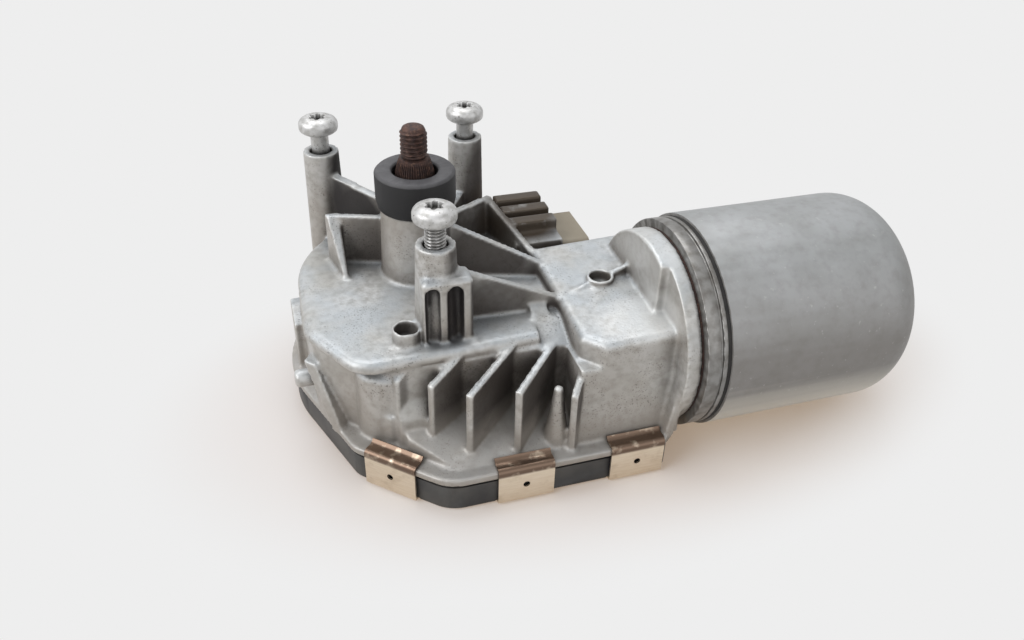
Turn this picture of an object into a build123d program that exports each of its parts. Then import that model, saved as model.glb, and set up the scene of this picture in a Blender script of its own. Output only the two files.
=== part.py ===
from build123d import *
import os
from math import asin, atan2, cos, degrees, hypot, pi, radians, sin, tan

# Wiper motor: a brushed motor drives a plastic worm wheel on the output shaft, inside a die-cast housing
# that stands on a plastic electronics cover. Lengths are in millimetres.
# Everything is drawn with z = 0 on the resting face of the cover and the output shaft on the Z axis, and
# written with z = 0 on the plane of the three mounting post tops, where the wiper linkage is bolted on.
# The motor axis runs along +X, from the worm to the closed end of the can.

# ---- driving dimensions: levels above the resting face ----
cover_floor = 2.0
cover_height = 8.5
gasket_thickness = 1.0
flange_thickness = 2.5
board_level = 9.6
chamber_ceiling = 19.0
motor_axis_height = 33.5
deck_height = 41.5
output_boss_height = 64.0
post_height = 69.4

# ---- driving dimensions: worm drive ----
gear_teeth = 51
gear_module = 1.25
worm_pitch_radius = 4.925
gear_width = 9.0
tooth_backlash = 0.16
tooth_tip_clearance = 0.3
pressure_angle = 20.0
worm_turns = 5

# ---- driving dimensions: shafts and bearings ----
output_radius = 6.0
output_thread_radius = 3.95
output_thread_length = 9.4
output_cone_length = 6.0
output_tip_height = 88.5
armature_radius = 4.0
journal_radius = 3.0
bush_wall = 2.0
bush_length = 9.0
pad_margin = 0.4
running_gap = 0.05
seat_gap = 0.02
end_play = 0.2

# ---- driving dimensions: housing ----
cast_wall = 3.0
deck_thickness = 2.6
gear_side_gap = 1.1
flange_radius = 42.0
post_radius = 5.5
post_foot_radius = 6.6
post_foot_pad = 10.0
rear_post_x = 23.4
rear_post_y = 32.3
front_post_x = -1.8
front_post_y = -33.5
front_edge_y = -65.0
right_edge_x = 61.5
boss_radius = 11.3
boss_top_radius = 10.6
fin_thickness = 2.2
rib_thickness = 2.4
neck_radius = 29.3
neck_start_x = 58.5
neck_rim_width = 4.4
collar_reach = 10.7
neck_end_x = 65.6
brush_chamber_radius = 26.5
brush_chamber_depth = 2.8
edge_round = 2.4

# ---- driving dimensions: motor ----
can_radius = 32.5
can_wall = 2.0
can_start_x = 73.4
can_end_x = 140.0
can_corner = 14.0
can_step_radius = 19.0
can_step_length = 2.2
can_bump_radius = 12.5
can_bump_length = 5.2
end_ring_radius = 31.7
magnet_thickness = 6.0
magnet_length = 40.0
magnet_arc = 74.0
magnet_count = 4
air_gap = 0.7
core_length = 36.0
core_slots = 12
winding_overhang = 7.0
commutator_radius = 11.0
commutator_length = 13.0
commutator_bars = 12
brush_width = 5.0
brush_height = 6.0
brush_length = 11.0

# ---- driving dimensions: small parts ----
clip_width = 16.6
clip_steel = 0.6
clip_lip = 3.4
clip_hole_radius = 1.0
clip_foot = 0.9
board_thickness = 1.6
cap_radius = 11.9
cap_top_height = 75.3
cap_height = 11.4
screw_head_radius = 6.0
screw_head_height = 5.0
screw_radius = 2.95
screw_length = 26.0
screw_hole_depth = screw_length - 5.0
locating_bore_radius = 3.2
locating_wall = 0.9

# ---- worked-out sizes ----
flange_bottom = cover_height + gasket_thickness
flange_top = flange_bottom + flange_thickness
gear_pitch_radius = gear_module * gear_teeth / 2
worm_pitch = pi * gear_module
addendum = gear_module * 0.9
dedendum = addendum + tooth_tip_clearance
gear_radius = gear_pitch_radius + addendum
worm_radius = worm_pitch_radius + addendum
worm_root_radius = worm_pitch_radius - dedendum
motor_axis_y = -(gear_pitch_radius + worm_pitch_radius)
lead_angle = atan2(worm_pitch, 2 * pi * worm_pitch_radius)
gear_chamber_radius = gear_radius + gear_side_gap
drum_radius = gear_chamber_radius + cast_wall
gear_bottom = motor_axis_height - gear_width / 2
gear_top = motor_axis_height + gear_width / 2
deck_underside = deck_height - deck_thickness
magnet_outer = can_radius - can_wall
magnet_inner = magnet_outer - magnet_thickness
core_radius = magnet_inner - air_gap
core_centre_x = (can_start_x + can_end_x) / 2 - 1.0
bush_outer = output_radius + bush_wall
worm_half_length = worm_turns * worm_pitch / 2
pad_radius = journal_radius + pad_margin

# ---- outlines, each the hull of discs (x, y, radius) ----
front_disc = 12.0
corner_disc = 8.0
end_disc = 5.0
corner_centre = (-22.6, -39.0)
rear_end_y = 18.0
rear_end_disc = 9.5
flange_discs = [
    (0, 0, flange_radius),
    (*corner_centre, corner_disc),
    (-2.0, front_edge_y + front_disc, front_disc),
    (right_edge_x - end_disc, front_edge_y + end_disc, end_disc),
    (right_edge_x - rear_end_disc, rear_end_y, rear_end_disc),
    (rear_post_x, rear_post_y, post_foot_pad),
    (-rear_post_x, rear_post_y, post_foot_pad),
]
deck_front_y = motor_axis_y - worm_radius - cast_wall + 0.6
deck_right_x = 34.5
hump_back_y = -5.0
wall_discs = [
    (0, 0, drum_radius),
    (-26.4, -22.0, 9.8),
    (-13.4, deck_front_y + 5.0, 5.0),
    (deck_right_x, deck_front_y + 4.0, 4.0),
    (deck_right_x, hump_back_y + 1.0, 4.0),
]
deck_discs = [
    (0, 0, drum_radius),
    (-26.4, -22.0, 11.8),
    (-21.0, deck_front_y + 9.2, 9.8),
    (deck_right_x - 4.0, deck_front_y + 5.2, 4.0),
    (deck_right_x - 4.0, hump_back_y + 1.0, 4.0),
]
deck_edge_height = 4.2
deck_edge_relief = 1.5


def inset(discs, distance, smallest=3.0):
    """The same outline moved inwards; a disc too small to shrink moves towards the middle instead."""
    moved = []
    for x, y, r in discs:
        shortage = max(0.0, smallest - (r - distance))
        away = max(hypot(x, y), 1.0)
        pull = 1 - 1.3 * shortage / away
        moved.append((x * pull, y * pull, max(r - distance, smallest)))
    return moved


def hull(discs):
    edges = ShapeList()
    for x, y, r in discs:
        edges += (Pos(x, y) * Circle(r)).edges()
    return make_hull(edges)


def slab(discs, low, high):
    return Pos(0, 0, low) * extrude(hull(discs), high - low)


def tangent_site(first, second, share=0.5):
    """A point on the straight edge that a hull has between two discs, and the edge's outward direction."""
    (x1, y1, r1), (x2, y2, r2) = first, second
    span = hypot(x2 - x1, y2 - y1)
    outward = atan2(y2 - y1, x2 - x1) - pi / 2 + asin((r1 - r2) / span)
    ax, ay = x1 + r1 * cos(outward), y1 + r1 * sin(outward)
    bx, by = x2 + r2 * cos(outward), y2 + r2 * sin(outward)
    return ax + share * (bx - ax), ay + share * (by - ay), degrees(outward)


def polygon(points):
    return make_face(Polyline(*points, close=True))


def level_polygon(points, z):
    return polygon([(x, y, z) for x, y in points])


def disc(radius, low, high, x=0.0, y=0.0):
    return Pos(x, y, low) * extrude(Circle(radius), high - low)


def tube(outer, inner, low, high, x=0.0, y=0.0):
    return disc(outer, low, high, x, y) - disc(inner, low - 1, high + 1, x, y)


def cone(low_radius, high_radius, low, high, x=0.0, y=0.0):
    middle = (low + high) / 2
    return Pos(x, y, middle) * Cone(low_radius, high_radius, high - low)


def along_motor(radius, start, end):
    """A cylinder on the motor axis between two X positions."""
    middle = (start + end) / 2
    return Pos(middle, motor_axis_y, motor_axis_height) * Rot(0, 90, 0) * Cylinder(radius, end - start)


def motor_ring(outer, inner, start, end):
    return along_motor(outer, start, end) - along_motor(inner, start - 1, end + 1)


def on_motor_axis(shape):
    """Turns a shape drawn about the Z axis so that it lies on the motor axis, with Z as +X."""
    return Pos(0, motor_axis_y, motor_axis_height) * Rot(0, 90, 0) * shape


def wall_plate(start, end, profile, thickness):
    """An upright plate from start towards end in plan, with (distance, height) points for its outline."""
    heading = degrees(atan2(end[1] - start[1], end[0] - start[0]))
    plate = extrude(polygon(profile), thickness / 2, both=True)
    return Pos(start[0], start[1], 0) * Rot(0, 0, heading) * Rot(90, 0, 0) * plate


def crest_rib(start, end, start_height, end_height, thickness=rib_thickness):
    span = hypot(end[0] - start[0], end[1] - start[1])
    low = deck_underside + 0.5
    profile = [(0, low), (span, low), (span, end_height), (0, start_height)]
    return wall_plate(start, end, profile, thickness)


# ---- clip sites on the flange edge: three at the front, two at the back ----
clip_sites = [
    tangent_site(flange_discs[1], flange_discs[2], 0.42),
    tangent_site(flange_discs[2], flange_discs[3], 0.30),
    tangent_site(flange_discs[2], flange_discs[3], 0.88),
    tangent_site(flange_discs[4], flange_discs[5], 0.55),
    tangent_site(flange_discs[5], flange_discs[6], 0.5),
]


def at_site(site, shape):
    x, y, outward = site
    return Pos(x, y, 0) * Rot(0, 0, outward) * shape


# ---- gear housing ----
fin_starts = [(-10.6, -43.0), (4.0, -43.0), (19.5, -42.0), (27.5, -46.0)]
fin_ends = [(-17.0, -45.6), (-8.3, -50.0), (0.9, -56.8), (14.4, -59.0)]
fin_top_drops = [1.0, 1.0, 1.0, 3.5]
fin_shoulder = 34.8
fin_root = 3.0
skirt_top = 19.5
skirt_span = (-15.0, 36.0)
skirt_foot_rise = 0.8
flange_sink = 1.0
cone_rib_top = 32.0
cone_rib_place = (27.0, -56.4)


def housing_outside():
    flange = slab(flange_discs, flange_bottom, flange_top)
    body = flange + deck_and_walls() + hump() + neck() + skirt() + wall_pad() + corner_column()
    for post_x, post_y, low in post_sites():
        body += cone(post_foot_radius, post_radius, low, post_height, post_x, post_y)
    body += front_post_apron()
    body += cone(boss_radius + 0.3, boss_top_radius, deck_underside, output_boss_height)
    body += deck_ribs()
    body += boss_wall()
    body += cooling_fins()
    body += cone(4.0, 1.2, flange_top - flange_sink, cone_rib_top, *cone_rib_place)
    body += end_bar()
    body += side_bracket()
    body += rear_block()
    body += disc(locating_bore_radius + locating_wall, deck_underside, deck_height + 4.5, *deck_bore)
    body += hump_ring()
    return body


ledge_x = (25.5, 31.0)
ledge_back_y = -31.0
ledge_rise = 3.0
ledge_slope = 0.5


def deck_and_walls():
    """The flat deck with its rounded edge, the walls under it and the sloping ledge at its right end."""
    deck = slab(deck_discs, deck_height - deck_edge_height, deck_height)
    deck = fillet(deck.faces().sort_by(Axis.Z)[-1].edges(), edge_round)
    deck = chamfer(deck.faces().sort_by(Axis.Z)[0].edges(), deck_edge_relief)
    walls = slab(wall_discs, flange_bottom, deck_height - edge_round)
    walls = chamfer(walls.faces().sort_by(Axis.Z)[-1].edges(), deck_edge_relief)
    chamber = slab(inset(flange_discs, 6.0), flange_bottom, chamber_ceiling + 2.4) & behind(deck_front_y)
    crossing_y = ledge_back_y - ledge_rise / ledge_slope
    low, high = deck_height - 10.0, deck_height + 10.0
    front = crossing_y - (deck_height - low) / ledge_slope
    above = [(crossing_y, deck_height), (front, low), (front, high), (crossing_y, high)]
    wedge = [(ledge_back_y, low), (ledge_back_y, deck_height + ledge_rise), (crossing_y, deck_height),
             (crossing_y, low)]
    cut = across(above, ledge_x[0], deck_right_x)
    return deck + walls + chamber - cut + across(wedge, *ledge_x)


def across(points, start, end):
    """A prism along X between two positions, with (y, z) points for its outline."""
    face = polygon([(start, y, z) for y, z in points])
    return extrude(face, end - start, dir=(1, 0, 0))


def behind(y):
    """Everything on the far side of an upright plane that faces -Y."""
    reach = 4 * can_end_x
    return Pos(0, y + reach / 2, 0) * Box(reach, reach, reach)


def post_sites():
    return [
        (-rear_post_x, rear_post_y, flange_bottom),
        (rear_post_x, rear_post_y, flange_bottom),
        (front_post_x, front_post_y, deck_underside),
    ]


def skirt():
    """The sloping floor between the fins, from the worm wall down to the flange."""
    front = front_edge_y + 5.0
    root = deck_front_y + flange_sink
    outline = [(root, flange_bottom), (front - 3.0, flange_bottom), (front, flange_top + skirt_foot_rise),
               (root, skirt_top)]
    wedge = across(outline, *skirt_span)
    return wedge & slab(inset(flange_discs, clip_lip + 2.0), flange_bottom, skirt_top + 1)


pad_span = (-16.2, -7.6)
pad_reach = 2.4
pad_top = 27.5
pad_front_top = 21.4


def wall_pad():
    """The thickening between the first two fins, with a steep top."""
    root, front = deck_front_y + 2.0, deck_front_y - pad_reach
    outline = [(root, flange_bottom), (front, flange_bottom), (front, pad_front_top),
               (deck_front_y, pad_top),
               (root, pad_top)]
    return across(outline, *pad_span)


column_disc = (-18.2, -35.7, 8.2)
column_right_x = -15.6
column_top = 34.4


def corner_column():
    """A round column under the deck's front left-hand corner."""
    x, y, radius = column_disc
    column = disc(radius, flange_bottom, column_top, x, y)
    column = chamfer(column.faces().sort_by(Axis.Z)[-1].edges(), 1.2)
    return column & Pos(column_right_x - 50, 0, 0) * Box(100, 200, 200)


hump_left_x = 33.0
hump_ledge_height = 37.0
hump_front_y = -58.0
hump_draft = 2.4
hump_corner = (5.6, 6.0)
roof_height = 46.6
roof_slope_x = 0.04
roof_slope_y = 0.045


def roof_level(x, y):
    return roof_height + roof_slope_x * (x - hump_left_x) + roof_slope_y * (y - hump_back_y)


def hump():
    """The box over the bearing: the lower part spreads to its foot, the upper part has a cut corner."""
    left, right, back, front = hump_left_x, neck_end_x - 1.0, hump_back_y, hump_front_y
    foot = [(left - 0.6, back), (left - 0.6, front - hump_draft), (right, front - hump_draft), (right, back)]
    ledge = [(left, back), (left, front), (right, front), (right, back)]
    lower = loft([level_polygon(foot, flange_bottom), level_polygon(ledge, hump_ledge_height)], ruled=True)
    wall_x = left + 1.2
    cut_x, cut_y = hump_corner
    walls = [(wall_x, back), (wall_x, front + cut_y), (wall_x + cut_x, front), (right, front), (right, back)]
    base = hump_ledge_height - 1.0
    ends = []
    for x in (left, right):
        section = [(front, base), (front, roof_level(x, front)), (back, roof_level(x, back)), (back, base)]
        ends.append(polygon([(x, y, z) for y, z in section]))
    upper = extrude(level_polygon(walls, base), roof_height) & loft(ends, ruled=True)
    roof = upper.faces().sort_by(Axis.Z)[-1]
    upper = fillet(roof.edges().filter_by(lambda e: e.center().X < right - 0.5), edge_round)
    return lower + upper


def neck():
    """The round flange for the motor, full at the rim and cut back in front where it meets the hump."""
    rim = along_motor(neck_radius, neck_end_x - neck_rim_width, neck_end_x)
    collar = along_motor(neck_radius, neck_start_x, neck_end_x)
    return rim + (collar & behind(motor_axis_y - collar_reach))


apron_left, apron_right = -5.6, 8.8
apron_depth = 7.4
apron_top = 61.5
flute_depth = 3.0
flutes = [(-2.7, 3.9), (3.6, 4.2)]


def front_post_apron():
    """The front post stands against a block with two deep flutes that leave three upright ribs."""
    front = front_post_y - apron_depth
    left, right = front_post_x + apron_left, front_post_x + apron_right
    low = deck_underside
    block = Pos((left + right) / 2, front_post_y - apron_depth / 2, (low + apron_top) / 2)
    block = block * Box(right - left, apron_depth, apron_top - low)
    uprights = [e for e in block.edges().filter_by(Axis.Z) if e.center().Y < front_post_y - 1]
    block = fillet(uprights, 1.5)
    block = chamfer([e for e in block.edges() if abs(e.center().Z - apron_top) < 0.1
                     and e.center().Y < front_post_y - 0.1], 1.1)
    arch_top = apron_top - 2.0
    for offset, width in flutes:
        flute = SlotOverall(2 * (arch_top - deck_height), width, rotation=90)
        flute = Rot(90, 0, 0) * extrude(flute, flute_depth, both=True)
        flute = Pos(front_post_x + offset, front, deck_height) * flute
        block -= flute & Pos(front_post_x, front, deck_height + 50) * Box(40, 40, 100)
    return block


rib_high = 60.0
rib_middle = 54.0
web_high = 61.8


def deck_ribs():
    """The crests that run from the boss and the posts to the hump, and the webs to the rear posts."""
    rim = hump_left_x + 3.0
    rim_high = roof_height - 0.5
    ribs = crest_rib((boss_radius - 4.3, -5.0), (rim, -14.0), rib_high, rim_high)
    ribs += crest_rib((front_post_x + 3.0, front_post_y + 4.0), (rim, -31.0), rib_high, rim_high - 1.5)
    ribs += crest_rib((rear_post_x + 3.6, rear_post_y - 15.3), (rim - 1.0, -7.0), rib_middle, rim_high)
    far_end = (rear_post_x + 4.6, rear_post_y - 14.3)
    ribs += crest_rib((boss_radius - 2.3, 5.0), far_end, rib_middle + 2, rib_middle)
    ribs += crest_rib((-7.0, 8.0), (-rear_post_x, rear_post_y), web_high, web_high + 0.8, 3.0)
    ribs += crest_rib((7.0, 9.0), (rear_post_x, rear_post_y), rib_middle - 4, rib_middle - 2, 3.0)
    return ribs


boss_wall_height = 57.5
boss_wall_start = (-8.0, 6.0)
boss_wall_end = (-24.0, 11.2)
gusset_tip_y = -1.4
gusset_width = 4.4


def boss_wall():
    """The wall that leaves the boss to the left, and the tapered gusset that props its free end."""
    wall = crest_rib(boss_wall_start, boss_wall_end, boss_wall_height, boss_wall_height)
    x, y = boss_wall_end
    back = y + rib_thickness / 2
    half = gusset_width / 2
    low = deck_underside + 0.5
    plan = [(x - half, back), (x + half, back), (x + half, gusset_tip_y), (x + half - 1.4, gusset_tip_y)]
    prop = extrude(level_polygon(plan, low), boss_wall_height - low)
    slope = [(back + 1, low - 1), (back + 1, boss_wall_height), (y - 1.0, boss_wall_height),
             (gusset_tip_y, deck_height + 0.3), (gusset_tip_y, low - 1)]
    return wall + (prop & across(slope, x - 10, x + 10))


def cooling_fins():
    fins = Part()
    low = flange_top - flange_sink
    for start, end, drop in zip(fin_starts, fin_ends, fin_top_drops):
        span = hypot(end[0] - start[0], end[1] - start[1])
        top = deck_height - drop
        profile = [(-fin_root, low), (span, low), (span, fin_shoulder), (0, top), (-fin_root, top)]
        fins += wall_plate(start, end, profile, fin_thickness)
    short_start, short_end = (hump_left_x + 1.5, -55.0), (hump_left_x - 3.2, -61.5)
    span = hypot(short_end[0] - short_start[0], short_end[1] - short_start[1])
    profile = [(0, low), (span, low), (span, fin_shoulder - 3), (0, fin_shoulder + 1.5)]
    return fins + wall_plate(short_start, short_end, profile, fin_thickness)


bar_top = [(61.6, -59.5), (65.0, -59.5), (65.0, -64.0), (61.6, -64.0)]
bar_foot = [(58.2, -59.5), (61.0, -59.5), (61.0, -63.6), (58.2, -63.6)]
bar_top_height = 33.5


def end_bar():
    """The square bar that leans along the right-hand end of the front wall."""
    low = flange_top - flange_sink
    return loft([level_polygon(bar_foot, low), level_polygon(bar_top, bar_top_height)], ruled=True)


bracket_height = 31.0
bracket_ledge = 2.6
bracket_edge_top = [(-39.6, -24.2), (-36.4, -27.6), (-34.4, -25.8), (-37.6, -22.4)]
bracket_edge_foot = [(-34.0, -34.0), (-31.6, -36.4), (-29.6, -34.6), (-32.0, -32.2)]
bracket_web_top = [(-38.4, -22.6), (-37.0, -24.2), (-28.0, -15.0), (-29.4, -13.4)]
bracket_web_foot = [(-32.6, -32.6), (-31.2, -34.2), (-24.0, -22.0), (-25.4, -20.4)]
bracket_ledge_plan = [(-37.8, -26.0), (-29.4, -30.4), (-26.0, -24.0), (-35.0, -19.0)]
peg_centre = (-39.2, -22.6, 23.5)
peg_radius = 2.7
peg_length = 6.4
lug_span = (-39.7, -34.0)


def side_bracket():
    """A leaning triangular bracket on the left wall with a short round peg, and the plain lug behind it."""
    low = flange_top - flange_sink
    edge = [level_polygon(bracket_edge_foot, low), level_polygon(bracket_edge_top, bracket_height)]
    web = [level_polygon(bracket_web_foot, low), level_polygon(bracket_web_top, bracket_height)]
    bracket = loft(edge, ruled=True) + loft(web, ruled=True)
    bracket += extrude(level_polygon(bracket_ledge_plan, bracket_height - bracket_ledge), bracket_ledge)
    peg = Pos(*peg_centre) * Rot(0, 90, 0) * Cylinder(peg_radius, peg_length)
    peg = fillet(peg.faces().sort_by(Axis.X)[0].edges(), 1.2)
    lug_outline = [(-2.0, low), (-2.0, 28.0), (5.0, 30.5), (10.0, 30.5), (10.0, low)]
    return bracket + peg + across(lug_outline, *lug_span)


rear_block_x = (31.0, 47.0)
rear_block_y = (-2.0, 26.0)
rear_block_height = 46.0
rear_ridge_rise = 4.0
rear_ridge_width = 5.0
rear_ridge_pitch = 8.0
rear_ridge_count = 3


def rear_block():
    """The stepped block behind the hump, which carries the connector."""
    (x0, x1), (y0, y1) = rear_block_x, rear_block_y
    body = [(y0, flange_bottom), (y0, rear_block_height), (y1, rear_block_height), (y1, flange_bottom)]
    block = across(body, x0, x1)
    low, high = rear_block_height - 1.0, rear_block_height + rear_ridge_rise
    for index in range(rear_ridge_count):
        back = y1 - 0.5 - index * rear_ridge_pitch
        front = back - rear_ridge_width
        block += across([(front, low), (front, high), (back, high), (back, low)], x0, x1)
    return block


deck_bore = (-11.4, -37.0)
hump_bore = (49.0, -28.5)
hump_ring_top = round(roof_level(*hump_bore) + 2.0, 1)
hump_bore_depth = 4.0


def hump_ring():
    """The second locating ring, on the roof, with a low rib on either side."""
    x, y = hump_bore
    ring = disc(locating_bore_radius + locating_wall, hump_ring_top - 8.0, hump_ring_top, x, y)
    ring += crest_rib((x, y), (x - 11.0, y - 3.0), hump_ring_top - 0.4, roof_level(x - 11.0, y), 1.2)
    ring += crest_rib((x, y), (neck_start_x + 1.0, y + 1.5), hump_ring_top - 0.8, hump_ring_top + 2.2, 1.8)
    return ring


bearing_start_x = 50.0
bearing_width = 7.0
bearing_outer = 11.0
bearing_inner_ring = 5.9
bearing_outer_ring = 9.1
front_bush_x = -16.2
front_bush_length = 4.6
thrust_pad_x = -16.8
pad_length = 1.7


def gear_housing():
    body = housing_outside()
    chamber = inset(flange_discs, 8.6)
    body -= slab(chamber, flange_bottom - 1, chamber_ceiling) & chamber_limit()
    body -= disc(gear_chamber_radius, flange_bottom, deck_underside)
    body -= along_motor(worm_radius + 0.4, front_bush_x + front_bush_length, worm_half_length + 4.0)
    body -= along_motor(armature_radius + 1.5, 0, bearing_start_x + 1)
    body -= along_motor(journal_radius + bush_wall + seat_gap, front_bush_x - seat_gap, 0)
    body -= along_motor(pad_radius + seat_gap, thrust_pad_x - end_play - pad_length, 0)
    body -= along_motor(bearing_outer + seat_gap, bearing_start_x, neck_end_x)
    body -= along_motor(brush_chamber_radius, neck_end_x - brush_chamber_depth, neck_end_x + 1)
    body -= disc(bush_outer + seat_gap, deck_underside - 1, output_boss_height + 1)
    for post_x, post_y, _ in post_sites():
        body -= disc(screw_radius + 0.35, post_height - screw_hole_depth, post_height + 1, post_x, post_y)
    body -= disc(locating_bore_radius, deck_height - 0.4, deck_height + 6, *deck_bore)
    body -= disc(locating_bore_radius, hump_ring_top - hump_bore_depth, hump_ring_top + 1, *hump_bore)
    return body


def chamber_limit():
    """Keeps the electronics chamber behind the worm wall and clear of the brush chamber."""
    left, right = -60.0, neck_start_x - 3.0
    front, back = deck_front_y + cast_wall, 60.0
    middle = Pos((left + right) / 2, (front + back) / 2, chamber_ceiling / 2 + 5)
    return middle * Box(right - left, back - front, chamber_ceiling + 20)


# ---- electronics cover and what lies in it ----
cover_side_gap = 0.8
cover_wall = 2.2
cover_discs = inset(flange_discs, cover_side_gap)
inner_discs = inset(flange_discs, 9.6)
board_posts = [(-22.0, -22.0), (44.0, -36.0), (40.0, 10.0), (-14.0, 24.0)]
neck_relief = along_motor(end_ring_radius + 0.6, neck_start_x - 0.6, can_end_x)


def clip_slots():
    """The notches under the cover's rim that the clips hook into."""
    room = Box(clip_lip + 2.6, clip_width + 1.0, 2 * (clip_foot + seat_gap))
    notch = Pos(-clip_lip / 2 + 0.5, 0, 0) * room
    return [at_site(site, notch) for site in clip_sites]


def bottom_cover():
    cover = slab(cover_discs, 0, cover_height)
    foot = cover.faces().sort_by(Axis.Z)[0].edges()
    cover = chamfer(foot, 0.7)
    cover -= slab(inset(cover_discs, cover_wall + clip_lip), cover_floor, cover_height + 1)
    for post_x, post_y in board_posts:
        cover += disc(3.0, cover_floor - 0.5, board_level, post_x, post_y)
    cover -= neck_relief
    for notch in clip_slots():
        cover -= notch
    return cover


def cover_gasket():
    ring = slab(inset(cover_discs, 1.2), cover_height, flange_bottom)
    ring -= slab(inset(cover_discs, 3.4), cover_height - 1, flange_bottom + 1)
    return ring - along_motor(end_ring_radius + 1.8, neck_start_x - 1.8, can_end_x)


def spring_clip():
    """A strip bent over the flange and under the cover's rim, with a rolled upper lip and a small hole."""
    back = clip_steel
    top = flange_top + clip_steel
    strip = Polyline(
        (-clip_lip, clip_foot), (0.0, clip_foot), (0.0, flange_top), (-clip_lip, flange_top),
        (-clip_lip - 1.0, flange_top + 1.6), (-clip_lip - 0.4, flange_top + 2.0), (-clip_lip + 0.3, top),
        (back, top), (back, clip_foot - clip_steel), (-clip_lip, clip_foot - clip_steel),
        close=True,
    )
    clip = extrude(Plane.XZ * make_face(strip), clip_width / 2, both=True)
    clip = Pos(clip_steel * 0.1, 0, 0.02) * clip
    hole = Pos(0, 0, (clip_foot + flange_top) / 2) * Rot(0, 90, 0) * Cylinder(clip_hole_radius, 6)
    return clip - hole


def retaining_clips():
    return Compound([at_site(site, spring_clip()).solid() for site in clip_sites])


def circuit_board():
    board = slab(inner_discs, board_level, board_level + board_thickness) & chamber_limit()
    return board - disc(1.0, 0, 30, *board_posts[1])


board_top = board_level + board_thickness


def board_components():
    """Power switches and the control chip on top of the board."""
    parts = []
    for index in range(4):
        body = Pos(12.0 + index * 8.0, -30.0, board_top + 1.2) * Box(6.2, 9.0, 2.4)
        parts.append(body.solid())
    parts.append((Pos(-4.0, -24.0, board_top + 0.9) * Box(12.0, 12.0, 1.8)).solid())
    parts.append((Pos(0, 0, board_top + 0.6) * Box(4.0, 5.0, 1.2)).solid())
    return Compound(parts)


def filter_capacitors():
    high, low = board_level, cover_floor + 0.4
    return Compound([disc(3.2, low, high, x, -22.0).solid() for x in (14.0, 23.0)])


def filter_choke():
    low = cover_floor + 0.4
    return disc(6.0, low, board_level, 20.0, -6.0) - disc(2.0, low - 1, board_level + 1, 20.0, -6.0)


shell_x = (47.0, 58.0)
shell_y = (2.0, 23.5)
shell_z = (27.0, 42.0)
shell_wall = 1.8


def connector_shell():
    (x0, x1), (y0, y1), (z0, z1) = shell_x, shell_y, shell_z
    centre = ((x0 + x1) / 2, (y0 + y1) / 2, (z0 + z1) / 2)
    size = (x1 - x0, y1 - y0, z1 - z0)
    shell = fillet((Pos(*centre) * Box(*size)).edges().filter_by(Axis.X), 2.0)
    mouth = Pos(centre[0] + 3.0, centre[1], centre[2])
    mouth = mouth * Box(size[0], size[1] - 2 * shell_wall, size[2] - 2 * shell_wall)
    shell -= fillet(mouth.edges().filter_by(Axis.X), 1.0)
    for pin_y in pin_rows():
        shell -= Pos(x0, pin_y, centre[2]) * Box(8.0, 1.9, 1.1)
    return shell


def pin_rows():
    middle = (shell_y[0] + shell_y[1]) / 2
    return [middle + step * 4.2 for step in (-1.5, -0.5, 0.5, 1.5)]


def connector_pins():
    middle_z = (shell_z[0] + shell_z[1]) / 2
    blades = []
    for pin_y in pin_rows():
        blade = Pos(shell_x[0] + 4.6, pin_y, middle_z) * Box(9.0, 1.8, 1.0)
        blades.append(blade.solid())
    return Compound(blades)


# ---- output side ----
washer_thickness = 1.0
ring_thickness = 1.2
cone_start_height = output_tip_height - output_thread_length - output_cone_length
lower_bush = (deck_underside + 0.3, deck_underside + 0.3 + bush_length)
upper_bush = (output_boss_height - bush_length - 1.0, output_boss_height - 1.0)
washer_level = output_boss_height - 1.0 + running_gap
ring_level = washer_level + washer_thickness + running_gap
hub_radius = 10.0
hub_bottom = chamber_ceiling + 5.0
magnet_height = 3.0
hub_top = deck_underside - end_play


def output_shaft():
    shaft = disc(output_radius, hub_bottom, cone_start_height)
    shaft += cone(output_radius, output_thread_radius + 0.5, cone_start_height,
                  cone_start_height + output_cone_length)
    tip = disc(output_thread_radius, cone_start_height, output_tip_height)
    shaft += chamfer(tip.faces().sort_by(Axis.Z)[-1].edges(), 1.0)
    groove = tube(output_radius + 1, output_radius - 0.6, ring_level, ring_level + ring_thickness)
    return shaft - groove


def tooth_outline():
    """Half widths of a tooth at its root, pitch line and tip."""
    half = worm_pitch / 4 - tooth_backlash / 2
    slope = tan(radians(pressure_angle))
    return half + dedendum * slope, half - addendum * slope


def worm_wheel():
    root_half, tip_half = tooth_outline()
    root_radius = gear_pitch_radius - dedendum
    layers = []
    steps = 2
    for layer in range(steps + 1):
        height = gear_bottom + gear_width * layer / steps
        twist = (height - motor_axis_height) * tan(lead_angle) / gear_pitch_radius
        points = []
        for tooth in range(gear_teeth):
            middle = -pi / 2 + 2 * pi * tooth / gear_teeth + twist
            for radius, offset in ((root_radius, -root_half), (gear_radius, -tip_half),
                                   (gear_radius, tip_half), (root_radius, root_half)):
                angle = middle + offset / radius
                points.append((radius * cos(angle), radius * sin(angle), height))
        layers.append(make_face(Polyline(*points, close=True)))
    wheel = loft(layers, ruled=True)
    pocket_outer = root_radius - 3.2
    pocket_depth = 2.6
    for low in (gear_bottom - 1, gear_top - pocket_depth):
        wheel -= tube(pocket_outer, hub_radius, low, low + pocket_depth + 1)
    spokes = 6
    hole_ring = (pocket_outer + hub_radius) / 2
    for index in range(spokes):
        angle = radians(index * 360 / spokes)
        wheel -= disc(3.4, gear_bottom - 1, gear_top + 1, hole_ring * cos(angle), hole_ring * sin(angle))
    wheel += disc(hub_radius, hub_bottom, gear_bottom + 2)
    wheel += disc(hub_radius - 1.0, gear_top - 1, hub_top)
    return wheel - disc(output_radius + seat_gap, hub_bottom - 1, hub_top + 1)


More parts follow.
